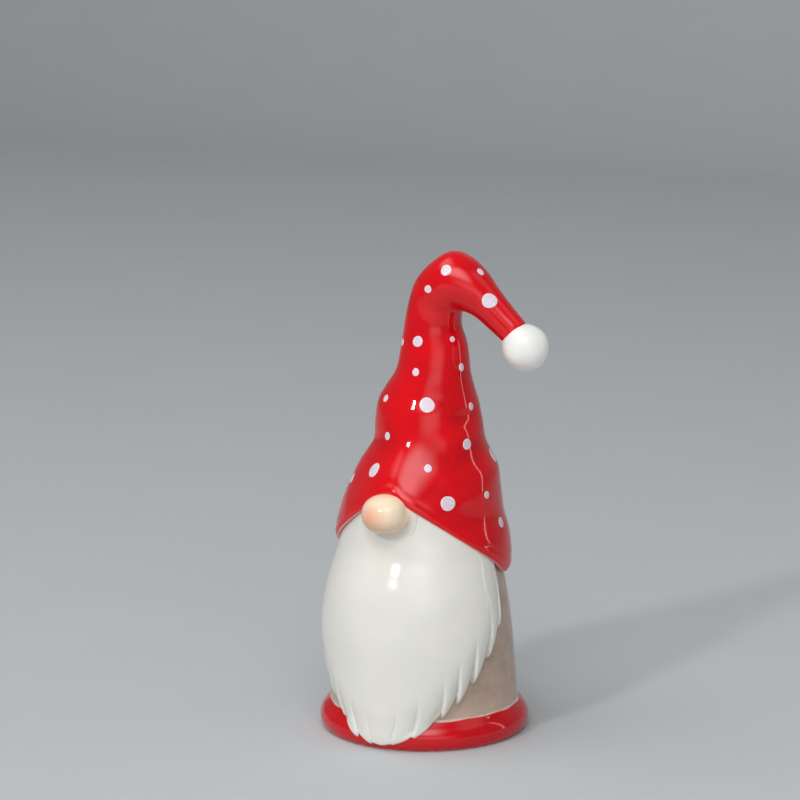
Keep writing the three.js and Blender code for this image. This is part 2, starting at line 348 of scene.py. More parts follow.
# ---------------------------------------------------------------- fineness of the meshes

HAT_ROUND = 300
COAT_ROUND = 240
HEM_ROUND = 480
BEARD_COLUMNS = 372
BEARD_ROWS = 226
BEARD_REACH = 91.0               # degrees to either side

# ---------------------------------------------------------------- numbers


def through(rows, position):
    """The columns of a smooth curve through rows of (position, value, ...), flat beyond its ends."""
    rows = np.array(rows, float)
    at, values = rows[:, 0], rows[:, 1:]
    last = len(at) - 1
    low = np.maximum(np.arange(last + 1) - 1, 0)
    high = np.minimum(np.arange(last + 1) + 1, last)
    slopes = (values[high] - values[low]) / (at[high] - at[low])[:, None]
    position = np.clip(np.asarray(position, float), at[0], at[last])
    i = np.clip(np.searchsorted(at, position, side="right") - 1, 0, last - 1)
    span = (at[i + 1] - at[i])[..., None]
    t = (position - at[i])[..., None] / span
    eased = t * t * (3 - 2 * t)
    bend = slopes[i] * t * (1 - t) ** 2 - slopes[i + 1] * t * t * (1 - t)
    return np.moveaxis(values[i] + (values[i + 1] - values[i]) * eased + span * bend, -1, 0)


def quarter_round(distance, depth):
    """The height from 0 to 1 of a quarter round, at a distance in from its edge."""
    t = np.clip(distance / depth, 0, 1)
    return np.sqrt(1 - (1 - t) ** 2)


def smooth_max(a, b, softness):
    """The larger of a and b, rounded over where they are within softness of each other."""
    near = np.maximum(softness - np.abs(a - b), 0)
    return np.maximum(a, b) + near**2 / (4 * np.maximum(softness, 1e-9))


def smooth_min(a, b, softness):
    return -smooth_max(-a, -b, softness)


def ease(value, low, high):
    """From 0 at low to 1 at high, level at both ends."""
    t = np.clip((value - low) / (high - low), 0, 1)
    return t * t * (3 - 2 * t)


def bell(distance, width):
    return np.exp(-((distance / width) ** 2))


def polar(bearing, radius, z):
    angle = np.radians(bearing)
    return np.stack(np.broadcast_arrays(radius * np.sin(angle), -radius * np.cos(angle), z), -1)


def bearing_of(points):
    return np.degrees(np.arctan2(points[..., 0], -points[..., 1]))


def unevenness(points, size, seed):
    """A smooth unevenness from about -1 to 1, with hollows and swells of about that size."""
    waves = 7
    draw = np.random.default_rng(seed)
    way = draw.normal(size=(waves, 3))
    way *= (2 * np.pi / size) * draw.uniform(0.6, 1.3, (waves, 1)) / np.linalg.norm(way, axis=1)[:, None]
    phase = draw.uniform(0, 2 * np.pi, waves)
    return np.sin(points @ way.T + phase).sum(-1) / math.sqrt(waves)


# ---------------------------------------------------------------- the figure's outlines


def coat_radius(z):
    return COAT["foot_radius"] - COAT["taper"] * (z / COAT["taper_height"]) ** 2


def body_radius(z, fillet=HEM["fillet"]):
    """The hem's roll and the coat above it, run together with a soft fillet."""
    z = np.asarray(z, float)
    above = z > HEM["widest_height"]
    inner = np.where(above, coat_radius(HEM["height"]), HEM["under_radius"])
    reach = np.where(above, HEM["height"] - HEM["widest_height"], HEM["widest_height"])
    t = np.minimum(np.abs(z - HEM["widest_height"]) / reach, 1)
    roll = inner + (HEM["radius"] - inner) * (1 - t * t) ** np.where(above, HEM["shoulder"], 0.5)
    wall = coat_radius(z)
    roll = np.where(z > HEM["height"], wall - 2 * (z - HEM["height"]), roll)
    return np.where(above, smooth_max(roll, wall, fillet), roll)


def body_outline(spacing=0.01, top=16.0):
    """The body's outline from the table up: how far along it each point is, its radius and height."""
    z = np.arange(0, top, spacing)
    radius = body_radius(z)
    length = np.concatenate([[0], np.cumsum(np.hypot(np.diff(radius), np.diff(z)))])
    return length, radius, z


def brim_line(bearing):
    """The brim's height, as it would be without the nose."""
    rise = BRIM["start_bearing"] - np.hypot(bearing, BRIM["peak_softness"])
    return BRIM["back_height"] + BRIM["slope"] * (rise + np.hypot(rise, BRIM["start_softness"])) / 2


def brim_edge(bearing):
    """The height of the brim's edge, which arches over the nose."""
    clear = NOSE_RADII[0] + BRIM["over_nose"]
    sideways = np.abs(np.radians(bearing) * -NOSE_MIDDLE[1] - NOSE_MIDDLE[0])
    over = np.sqrt(np.maximum(clear**2 - sideways**2, 0))
    arch = np.where(sideways < clear, over, 4 * (clear - sideways))
    return smooth_max(brim_line(bearing), NOSE_MIDDLE[2] + arch, BRIM["arch_softness"])


def brim_flare(bearing, above):
    return BRIM["flare"] * bell(bearing, BRIM["flare_width"]) * bell(above, BRIM["flare_height"])


def lip_at(bearing):
    """The rolled edge's depth and height, which grow from the front to the back."""
    steepness = LIP["turn_width"] / 4
    back = 1 / (1 + np.exp((LIP["turn_bearing"] - np.abs(bearing)) / steepness))
    depth = LIP["front_depth"] + (LIP["back_depth"] - LIP["front_depth"]) * back
    height = LIP["front_height"] + (LIP["back_height"] - LIP["front_height"]) * back
    return depth, height


def hat_side_point(bearing, z, inset):
    """A point on the hat below its neck. Its bearing is taken around the figure's axis at the
    brim, and around the hat's own middle by the time it reaches the neck."""
    middle, radius = through(HAT_SIDE, z)
    line = brim_line(bearing)
    hub = middle * np.clip((z - line) / (NECK_HEIGHT - line), 0, 1)
    sine, cosine = np.sin(np.radians(bearing)), np.cos(np.radians(bearing))
    offset = middle - hub
    chord = offset * sine + np.sqrt(radius**2 - (offset * cosine) ** 2)
    reach = chord + brim_flare(bearing, z - line) - inset
    for height, toward, rise, tall, wide in HAT_DENTS:
        reach = reach + rise * bell(z - height, tall) * bell(bearing - toward, wide)
    return np.stack(np.broadcast_arrays(hub + reach * sine, -reach * cosine, z), -1)


def hat_bend_point(station, bearing, inset=0.0):
    """A point on the hat's bend, at a station number that may lie between two stations."""
    numbered = [(i - 1, *row) for i, row in enumerate(HAT_BEND)]
    x, z, lead, in_plane, across = through(numbered, station)
    sideways = (in_plane - inset) * np.sin(np.radians(bearing))
    return np.stack(
        np.broadcast_arrays(
            x + sideways * np.cos(np.radians(lead)),
            -(across - inset) * np.cos(np.radians(bearing)),
            z - sideways * np.sin(np.radians(lead)),
        ),
        -1,
    )


def beard_edge(bearing):
    return BEARD["tip_height"] + BEARD["edge_rise"] * np.abs(bearing) ** BEARD["edge_power"]


def locks_at(bearing, above):
    """Where a point lies across its lock, from 0 at the upper notch to 1 at the lower one, and
    that lock's reach and relief."""
    curl = LOCKS["curl"] * np.tanh(bearing / 8) * bell(bearing, LOCKS["curl_bearing"])
    combed = bearing + curl * bell(above, LOCKS["curl_height"])
    found = []
    for side, notches in ((1, LEFT_NOTCHES), (-1, RIGHT_NOTCHES)):
        other = RIGHT_NOTCHES if side > 0 else LEFT_NOTCHES
        rows = np.array([(-other[0][0], 0.3, 0.3), *notches, (BEARD_REACH + 1, 0, 0)])
        k = np.clip(np.searchsorted(rows[:, 0], combed * side, side="right") - 1, 0, len(rows) - 2)
        place = (rows[k + 1, 0] - combed * side) / (rows[k + 1, 0] - rows[k, 0])
        found.append(np.stack([place, rows[k, 1], rows[k, 2]]))
    return np.where(combed >= 0, found[0], found[1])


def lock_shape(place):
    """A lock's outline and crest: it swells towards its tip and falls away at once to the notch."""
    swell = 1 - np.clip(1 - place / LOCKS["tip"], 0, 1) ** 1.9
    return swell * (1 - ease(place, LOCKS["tip"], 1.0))


def beard_radius(bearing, z):
    """The beard's outer radius. Beyond its outline it sinks into the coat."""
    front, side = through(BEARD_PROFILE, z)
    full = side + (front - side) * np.cos(np.radians(bearing)) ** 2
    body = body_radius(z)
    mm_per_degree = np.radians(coat_radius(z))
    climb = BEARD["edge_rise"] * BEARD["edge_power"] * np.abs(bearing) ** (BEARD["edge_power"] - 1)
    from_below = (z - beard_edge(bearing)) / np.hypot(1, climb / mm_per_degree)
    from_side = (BEARD["half_width"] - np.abs(bearing)) * mm_per_degree
    inside = smooth_min(from_below, from_side, BEARD["outline_softness"])
    above = z - beard_edge(bearing)
    place, reach, crest = locks_at(bearing, above)
    shape = lock_shape(place)
    inside = inside + reach * (shape - LOCKS["inset"]) * bell(above, LOCKS["reach_fade"])
    over_hem = body_radius(z, BEARD["over_hem"])
    body = body + (over_hem - body) * ease(inside, 0.0, 5.0)
    rim = BEARD["edge_thickness"] * np.tanh(BEARD["edge_slope"] * inside / BEARD["edge_thickness"])
    rim = np.maximum(rim, -BEARD["sink"])
    swell = np.maximum(full - body - BEARD["edge_thickness"], 0)
    swell = swell * quarter_round(inside, BEARD["edge_round"])
    below_brim = brim_line(bearing) - z
    relief = crest * (shape - LOCKS["groove"]) * bell(above, LOCKS["fade"]) * ease(inside, -0.2, 2.2)
    relief = relief * ease(below_brim, -1, 7)
    radius = body + rim + swell + relief
    hat = np.linalg.norm(hat_side_point(bearing, z, 0.0)[..., :2], axis=-1)
    ceiling = hat - BEARD["below_lip"] + BEARD["lip_slope"] * np.maximum(below_brim, 0)
    radius = smooth_min(radius, ceiling, BEARD["lip_softness"])
    wander = unevenness(polar(bearing, radius, z), 24.0, 3)
    return radius + BEARD["unevenness"] * wander * ease(radius - body, 0.5, 3)


# ---------------------------------------------------------------- meshes


def row_frame(points):
    return (np.asarray(points, float) + AXIS) * MM


def loft(rings, joined=False):
    """Vertices and faces of a closed skin over rings of equal length. The last ring is joined to
    the first, or else each end is closed by a fan."""
    rings = np.asarray(rings, float)
    layers, count = rings.shape[:2]
    points = list(rings.reshape(-1, 3))
    row = np.arange(layers if joined else layers - 1)[:, None] * count
    above = (row + count) % (layers * count)
    here = np.arange(count)
    ahead = (here + 1) % count
    faces = np.stack([row + here, row + ahead, above + ahead, above + here], -1).reshape(-1, 4).tolist()
    if not joined:
        top = (layers - 1) * count
        first, last = len(points), len(points) + 1
        points += [rings[0].mean(0), rings[-1].mean(0)]
        faces += [[first, int(b), int(a)] for a, b in zip(here, ahead)]
        faces += [[last, top + int(a), top + int(b)] for a, b in zip(here, ahead)]
    return np.array(points), faces


def mark(piece, name, values):
    """Store a value for each vertex, for the glazes to read."""
    attribute = piece.data.attributes.new(name, "FLOAT", "POINT")
    attribute.data.foreach_set("value", np.asarray(values, np.float32))


def build(name, points, faces, nodes, material, marks=None):
    """A smooth-shaded piece from points in mm, with its marks as vertex attributes."""
    mesh = bpy.data.meshes.new(name)
    mesh.from_pydata(row_frame(points).tolist(), [], faces)
    shell = bmesh.new()
    shell.from_mesh(mesh)
    bmesh.ops.recalc_face_normals(shell, faces=shell.faces)
    shell.to_mesh(mesh)
    shell.free()
    mesh.shade_smooth()
    mesh.materials.append(material)
    piece = bpy.data.objects.new(name, mesh)
    for kind, values in (marks or {}).items():
        mark(piece, kind, values)
    bpy.context.scene.collection.objects.link(piece)
    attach(piece, "root")
    if nodes:
        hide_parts(*nodes)
    return piece


def hollowness(piece, rounds):
    """How hollow the surface is around each vertex, from about -1 on a ridge to 1 in a groove."""
    mesh = piece.data
    count = len(mesh.vertices)
    place, normal = np.empty(count * 3), np.empty(count * 3)
    mesh.vertices.foreach_get("co", place)
    mesh.vertex_normals.foreach_get("vector", normal)
    place, normal = place.reshape(-1, 3) / MM, normal.reshape(-1, 3)
    ends = np.empty(len(mesh.edges) * 2, int)
    mesh.edges.foreach_get("vertices", ends)
    a, b = ends.reshape(-1, 2).T
    source, target = np.concatenate([a, b]), np.concatenate([b, a])
    degree = np.maximum(np.bincount(target, minlength=count), 1)

    def around(values):
        return np.bincount(target, values[source], minlength=count) / degree

    lean = ((place[source] - place[target]) * normal[target]).sum(1)
    span = ((place[source] - place[target]) ** 2).sum(1)
    hollow = np.bincount(target, lean, minlength=count) / np.bincount(target, span, minlength=count)
    for _ in range(rounds):
        hollow = (hollow + around(hollow)) / 2
    return np.clip(hollow * 4, -1, 1)


# ---------------------------------------------------------------- glazes


class Glaze:
    """A Principled shader, with the few kinds of node that the glazes share."""

    def __init__(self, name):
        self.material = bpy.data.materials.new(name)
        self.material.use_nodes = True
        self.tree = self.material.node_tree
        self.shader = self.tree.nodes["Principled BSDF"]
        self.place = self.tree.nodes.new("ShaderNodeTexCoord").outputs["Object"]

    def put(self, socket, value):
        if isinstance(value, bpy.types.NodeSocket):
            self.tree.links.new(value, socket)
        elif isinstance(value, tuple):
            socket.default_value = (*value, 1.0)
        else:
            socket.default_value = value

    def noise(self, size, detail=2.0):
        """Cloudy noise from 0 to 1, with features of about that size in mm."""
        node = self.tree.nodes.new("ShaderNodeTexNoise")
        self.put(node.inputs["Vector"], self.place)
        node.inputs["Scale"].default_value = 1 / (size * MM)
        node.inputs["Detail"].default_value = detail
        return node.outputs["Fac"]

    def specks(self, size, share):
        """1 on sparse round specks of about that size in mm, and 0 elsewhere."""
        node = self.tree.nodes.new("ShaderNodeTexVoronoi")
        self.put(node.inputs["Vector"], self.place)
        node.inputs["Scale"].default_value = 1 / (size * 5 * MM)
        return self.spread(node.outputs["Distance"], 0.12 * share, 0.07 * share)

    def mark(self, name):
        node = self.tree.nodes.new("ShaderNodeAttribute")
        node.attribute_name = name
        return node.outputs["Fac"]

    def spread(self, value, low, high, to_low=0.0, to_high=1.0):
        """value, eased from low..high to to_low..to_high."""
        node = self.tree.nodes.new("ShaderNodeMapRange")
        node.interpolation_type = "SMOOTHSTEP"
        inputs = {"Value": value, "From Min": low, "From Max": high, "To Min": to_low, "To Max": to_high}
        for name, part in inputs.items():
            self.put(node.inputs[name], part)
        return node.outputs["Result"]

    def sum(self, *parts):
        """The sum of (value, factor) pairs."""
        total = None
        for value, factor in parts:
            node = self.tree.nodes.new("ShaderNodeMath")
            node.operation = "MULTIPLY_ADD"
            self.put(node.inputs[0], value)
            self.put(node.inputs[1], factor)
            self.put(node.inputs[2], 0.0 if total is None else total)
            total = node.outputs[0]
        return total

    def blend(self, share, first, second):
        """A colour from first, at share 0, to second, at share 1."""
        node = self.tree.nodes.new("ShaderNodeMix")
        node.data_type = "RGBA"
        self.put(node.inputs[0], share)
        self.put(node.inputs[6], first)
        self.put(node.inputs[7], second)
        return node.outputs[2]

    def bump(self, height, depth, over=None):
        """The shading of a relief that is depth mm deep, on top of another one."""
        node = self.tree.nodes.new("ShaderNodeBump")
        node.inputs["Distance"].default_value = depth * MM
        self.put(node.inputs["Height"], height)
        if over is not None:
            self.put(node.inputs["Normal"], over)
        return node.outputs["Normal"]

    def finish(self, color, roughness, normal, ior=1.5):
        self.put(self.shader.inputs["Base Color"], color)
        self.put(self.shader.inputs["Roughness"], roughness)
        self.put(self.shader.inputs["Normal"], normal)
        self.shader.inputs["IOR"].default_value = ior
        return self.material


def glaze_surface(glaze, waves=0.012, peel=0.0012):
    """The long soft waves of a poured glaze and the fine orange peel on them."""
    slow = glaze.bump(glaze.noise(7.0, 1.0), waves)
    return glaze.bump(glaze.noise(0.7, 1.0), peel, slow)


def red_glaze():
    glaze = Glaze("red_glaze")
    pooled = glaze.spread(glaze.sum((glaze.mark("hollow"), 0.5), (glaze.noise(9.0), 0.5)), 0.1, 0.55)
    color = glaze.blend(pooled, (0.72, 0.002, 0.008), (0.50, 0.001, 0.004))
    color = glaze.blend(glaze.sum((glaze.specks(0.16, 1.0), 0.55)), color, (0.2, 0.0, 0.004))
    pale_line = glaze.spread(glaze.mark("edge"), 0.12, 0.42, 1.0, 0.0)
    color = glaze.blend(pale_line, color, (0.75, 0.36, 0.3))
    roughness = glaze.spread(glaze.noise(4.0, 3.0), 0.3, 0.75, 0.045, 0.09)
    return glaze.finish(color, roughness, glaze_surface(glaze), 1.48)


def hem_glaze():
    glaze = Glaze("hem_glaze")
    pooled = glaze.spread(glaze.sum((glaze.mark("hollow"), 0.5), (glaze.noise(6.0), 0.5)), 0.1, 0.55)
    color = glaze.blend(pooled, (0.61, 0.002, 0.008), (0.40, 0.001, 0.004))
    pale_line = glaze.spread(glaze.mark("edge"), 0.05, 0.3, 1.0, 0.0)
    color = glaze.blend(pale_line, color, (0.78, 0.5, 0.42))
    wavering = glaze.sum((glaze.mark("foot"), 1.0), (glaze.noise(2.5), -0.35))
    bare = glaze.spread(wavering, 0.05, 0.3, 1.0, 0.0)
    color = glaze.blend(bare, color, (0.72, 0.56, 0.48))
    gloss = glaze.spread(glaze.noise(4.0, 3.0), 0.3, 0.75, 0.05, 0.1)
    roughness = glaze.sum((bare, 0.6), (gloss, 1.0))
    return glaze.finish(color, roughness, glaze_surface(glaze, 0.016), 1.48)


def white_color(glaze):
    """The white glaze's colour: a trace grey and cool where it lies thick, creamy where thin."""
    cloud = glaze.noise(11.0, 2.0)
    color = glaze.blend(glaze.spread(cloud, 0.3, 0.7), (0.80, 0.78, 0.715), (0.775, 0.765, 0.705))
    return glaze.blend(glaze.sum((glaze.specks(0.12, 0.9), 0.25)), color, (0.45, 0.4, 0.33))


def white_glaze(name, whiteness=0.0):
    glaze = Glaze(name)
    color = glaze.blend(whiteness, white_color(glaze), (0.95, 0.945, 0.92))
    groove = glaze.spread(glaze.mark("hollow"), 0.05, 0.8, 0.0, 0.55)
    color = glaze.blend(groove, color, (0.6, 0.58, 0.52))
    ridge = glaze.spread(glaze.mark("hollow"), -0.1, -0.7, 0.0, 0.5)
    color = glaze.blend(ridge, color, (0.84, 0.83, 0.79))
    color = glaze.blend(glaze.mark("blush"), color, (0.8, 0.52, 0.34))
    roughness = glaze.spread(glaze.noise(5.0, 3.0), 0.3, 0.75, 0.09, 0.15)
    return glaze.finish(color, roughness, glaze_surface(glaze), 1.5)


def nose_glaze():
    glaze = Glaze("nose_glaze")
    skin = glaze.blend(glaze.noise(4.0), (0.97, 0.83, 0.62), (0.96, 0.78, 0.57))
    skin = glaze.blend(glaze.mark("cheek"), skin, (0.93, 0.38, 0.23))
    # Painted shade: a darker brown band along the nose's lower rim.
    skin = glaze.blend(glaze.mark("painted_shade"), skin, (0.68, 0.45, 0.3))
    color = glaze.blend(glaze.mark("skin"), white_color(glaze), skin)
    roughness = glaze.spread(glaze.noise(5.0, 3.0), 0.3, 0.75, 0.12, 0.16)
    return glaze.finish(color, roughness, glaze_surface(glaze, 0.008), 1.5)


def coat_glaze():
    glaze = Glaze("coat_glaze")
    cloud = glaze.spread(glaze.sum((glaze.noise(8.0, 3.0), 0.7), (glaze.noise(1.6, 2.0), 0.3)), 0.35, 0.65)
    color = glaze.blend(cloud, (0.50, 0.365, 0.285), (0.415, 0.295, 0.23))
    color = glaze.blend(glaze.sum((glaze.specks(0.2, 1.0), 0.3)), color, (0.24, 0.18, 0.14))
    thin = glaze.spread(glaze.mark("above_hem"), 0.0, 9.0, 0.4, 0.0)
    color = glaze.blend(thin, color, (0.66, 0.53, 0.43))
    pale = glaze.spread(glaze.mark("above_hem"), 0.1, 0.7, 0.7, 0.0)
    color = glaze.blend(pale, color, (0.74, 0.63, 0.53))
    bare = glaze.mark("bare")
    clay = glaze.blend(glaze.noise(1.2, 4.0), (0.72, 0.6, 0.5), (0.62, 0.5, 0.41))
    color = glaze.blend(bare, color, clay)
    gloss = glaze.spread(glaze.noise(4.0, 3.0), 0.3, 0.75, 0.09, 0.16)
    roughness = glaze.sum((bare, 0.6), (gloss, 1.0))
    grit = glaze.bump(glaze.sum((glaze.noise(0.5, 3.0), bare)), 0.03, glaze_surface(glaze, 0.014))
    return glaze.finish(color, roughness, grit, 1.5)


def dot_enamel():
    glaze = Glaze("dot_enamel")
    grain = glaze.spread(glaze.noise(0.45, 4.0), 0.35, 0.65)
    color = glaze.blend(grain, (0.8, 0.72, 0.8), (0.7, 0.6, 0.7))
    rim = glaze.spread(glaze.mark("across"), 0.72, 0.98)
    color = glaze.blend(glaze.sum((rim, 0.6)), color, (0.86, 0.78, 0.8))
    roughness = glaze.spread(glaze.noise(0.8, 3.0), 0.3, 0.7, 0.16, 0.3)
    return glaze.finish(color, roughness, glaze.bump(glaze.noise(0.35, 3.0), 0.004), 1.45)


# ---------------------------------------------------------------- pieces


def bearings(count):
    return np.linspace(-180, 180, count, endpoint=False)


def make_coat():
    """The hollow body: foot ring, outside wall, inside wall, floor and drain hole, in that order."""
    round_ = bearings(COAT_ROUND)
    seat, wall = COAT["seat_radius"], COAT["wall"]
    foot_inner = seat - wall
    floor_top = COAT["floor_recess"] + COAT["floor_thickness"]
    tuck = HEM["line"] - 0.9
    low = np.linspace(tuck, HEM["height"] + 3, 60)
    high = np.linspace(HEM["height"] + 3, COAT["top"], 60)[1:]
    outside = np.concatenate([low, high])
    inside = np.linspace(COAT["top"], floor_top + 2, 12)
    profile = [(foot_inner + 0.3, 0.0), (seat - 0.4, 0.0), (seat - 0.1, 0.1), (seat, 0.4)]
    profile += [(seat, tuck - 0.8), (body_radius(tuck) - 0.8, tuck - 0.6)]
    profile += list(zip(body_radius(outside), outside))
    profile += [(coat_radius(z) - wall, z) for z in inside]
    profile += [(foot_inner - 1.2, floor_top + 0.6), (foot_inner - 2.2, floor_top)]
    drain, under = COAT["drain_radius"], COAT["floor_recess"]
    profile += [(drain + 0.5, floor_top), (drain, floor_top - 0.5)]
    profile += [(drain, under + 0.4), (drain + 0.4, under)]
    profile += [(foot_inner - 1.5, under), (foot_inner - 0.5, under - 0.25)]
    profile += [(foot_inner, 0.5), (foot_inner + 0.05, 0.15)]
    rings = np.array([polar(round_, radius, z) for radius, z in profile])
    radius = np.hypot(rings[..., 0], rings[..., 1])
    shown = ease(rings[..., 2], HEM["height"], HEM["height"] + 4) * (radius > COAT["seat_radius"] - 4)
    sway = 1 + 0.10 * unevenness(rings, 26.0, 11) * shown / radius
    rings = rings * np.stack([sway, sway, np.ones_like(sway)], -1)
    points, faces = loft(rings, joined=True)
    radius = np.hypot(points[:, 0], points[:, 1])
    above_hem = np.where(radius > seat - 0.6, points[:, 2] - HEM["line"], 10)
    bare = (points[:, 2] < HEM["line"] - 2) * (radius < seat + 1.0)
    marks = {"above_hem": above_hem, "bare": bare}
    return build("coat_body", points, faces, ["coat_shell"], coat_glaze(), marks)


def make_hem():
    """The roll around the foot, with its red glaze ending in a wavering line below the coat."""
    round_ = bearings(HEM_ROUND)
    length, radius, height = body_outline()
    line = np.interp(HEM["line"], height, length)
    line = line + HEM["line_waver"] * unevenness(polar(round_, HEM["radius"], 0.0), 15.0, 5)
    inner = COAT["seat_radius"] + 0.05
    under = HEM["under_radius"]
    rings = [polar(round_, inner, 0.3), polar(round_, inner + 0.3, 0.0), polar(round_, under - 0.3, 0.0)]
    left = [line, line, line]
    for share in np.linspace(0, 1, 44):
        along = 0.04 + (line - 0.04) * share**0.85
        z = np.interp(along, length, height)
        skin = quarter_round(line - along, 0.3) * ease(z, HEM["bare"] - 0.25, HEM["bare"] + 0.2)
        raised = HEM["glaze"] * skin
        rings.append(polar(round_, np.interp(along, length, radius) + raised, z + 0.5 * raised))
        left.append(line - along)
    ridge, crown = np.interp(line, length, radius), np.interp(line, length, height)
    for depth in (0.3, 0.9):
        rings.append(polar(round_, ridge - 0.5 * depth, crown - depth))
        left.append(0 * line)
    rings += [polar(round_, inner + 0.4, crown - 2.0), polar(round_, inner, crown - 3.0)]
    left += [0 * line, 0 * line]
    points, faces = loft(rings, joined=True)
    marks = {"edge": np.array(left).ravel(), "foot": points[:, 2]}
    hem = build("hem_band", points, faces, ["hem_roll"], hem_glaze(), marks)
    mark(hem, "hollow", hollowness(hem, 6))
    return hem


def make_beard(white):
    columns = np.linspace(-BEARD_REACH, BEARD_REACH, BEARD_COLUMNS)
    top = np.minimum(brim_line(columns) + BEARD["under_brim"], BEARD["top"])
    bottom = np.maximum(beard_edge(columns) - BEARD["margin"], 0.25)
    share = np.linspace(0, 1, BEARD_ROWS)[:, None]
    z = (top + (bottom - top) * share).T
    bearing = np.broadcast_to(columns[:, None], z.shape)
    radius = beard_radius(bearing, z)
    outer = polar(bearing, radius, z)
    behind = [bottom + 0.05, (bottom + top) / 2, top - 0.05]
    inner = np.stack([polar(columns, coat_radius(height) - 1.4, height) for height in behind], 1)
    rings = np.concatenate([outer, inner], 1)
    points, faces = loft(rings)
    nose_gap = np.linalg.norm((points - NOSE_MIDDLE) / (NOSE_RADII + 1.2), axis=1)
    blush = 0.16 * (1 - ease(nose_gap, 1.0, 1.5))
    beard = build("beard_locks", points, faces, ["beard"], white, {"blush": blush})
    mark(beard, "hollow", hollowness(beard, 10))
    return beard


def nose_field(points):
    """Negative inside the nose and the beard behind it, which run together with a soft fillet."""
    reach = np.linalg.norm((points - NOSE_MIDDLE) / NOSE_BALL, ord=NOSE_SQUARENESS, axis=-1)
    ball = (reach - 1) * NOSE_BALL.min()
    bearing, z = bearing_of(points), points[..., 2]
    beard = np.hypot(points[..., 0], points[..., 1]) - beard_radius(bearing, z)
    beard = beard + 2 * np.maximum(z - brim_line(bearing), 0)
    height = (z - NOSE_MIDDLE[2]) / NOSE_RADII[2]
    side = points[..., 0] / NOSE_RADII[0]
    below = ease(-height + 0.75 * side, -0.6, 0.9)
    softness = NOSE_FILLET["above"] + (NOSE_FILLET["below"] - NOSE_FILLET["above"]) * below
    return smooth_min(ball, beard, softness)


def make_nose():
    """Rays from a point behind the nose find its surface and a skirt that runs out on the beard."""
    round_ = bearings(160)
    depth = 9.0                  # how far behind the nose's middle the rays start
    source = NOSE_MIDDLE + (0, depth, 0)
    rim = np.degrees(math.atan2(NOSE_RADII[0] + NOSE_FILLET["skirt"], depth))
    spread = np.concatenate([np.linspace(1.2, 30, 40), np.linspace(30, rim, 70)[1:]])
    angle, turn = np.meshgrid(np.radians(spread), np.radians(round_), indexing="ij")
    way = np.stack([np.sin(angle) * np.sin(turn), -np.cos(angle), -np.sin(angle) * np.cos(turn)], -1)
    low, high = np.full(angle.shape, 2.0), np.full(angle.shape, 22.0)
    for _ in range(40):
        middle = (low + high) / 2
        inside = nose_field(source + way * middle[..., None]) < 0
        low, high = np.where(inside, middle, low), np.where(inside, high, middle)
    outward = np.broadcast_to(ease(spread, rim - NOSE_FILLET["skirt_turn"], rim)[:, None], angle.shape)
    reach = low - NOSE_FILLET["skirt_sink"] * outward + NOSE_FILLET["lift"] * (1 - outward)
    rings = source + way * reach[..., None]
    back = [source + way[-1] * (reach[-1] - sink)[..., None] for sink in (0.6, 2.0)]
    rings = np.concatenate([rings, back])
    points, faces = loft(rings)
    offset = (points - NOSE_MIDDLE) / NOSE_BALL
    away = np.linalg.norm(offset - (0.05, 0, 0), axis=1)
    skin = 1 - ease(away, 1.04, 1.24)
    rosy = (offset - (-0.40, -0.75, -0.12)) * (1, 0.8, 0.9)
    cheek = 0.9 * bell(np.linalg.norm(rosy, axis=1), 0.76)
    rim_band = ease(away, 0.96, 1.08) * (1 - ease(away, 1.1, 1.24))
    # Painted shade: a darker brown band along the lower part of the nose's rim.
    painted_shade = 0.55 * rim_band * ease(-offset[:, 2], -0.3, 0.5)
    marks = {"skin": skin, "cheek": cheek, "painted_shade": painted_shade}
    return build("nose_ball", points, faces, ["nose"], nose_glaze(), marks)


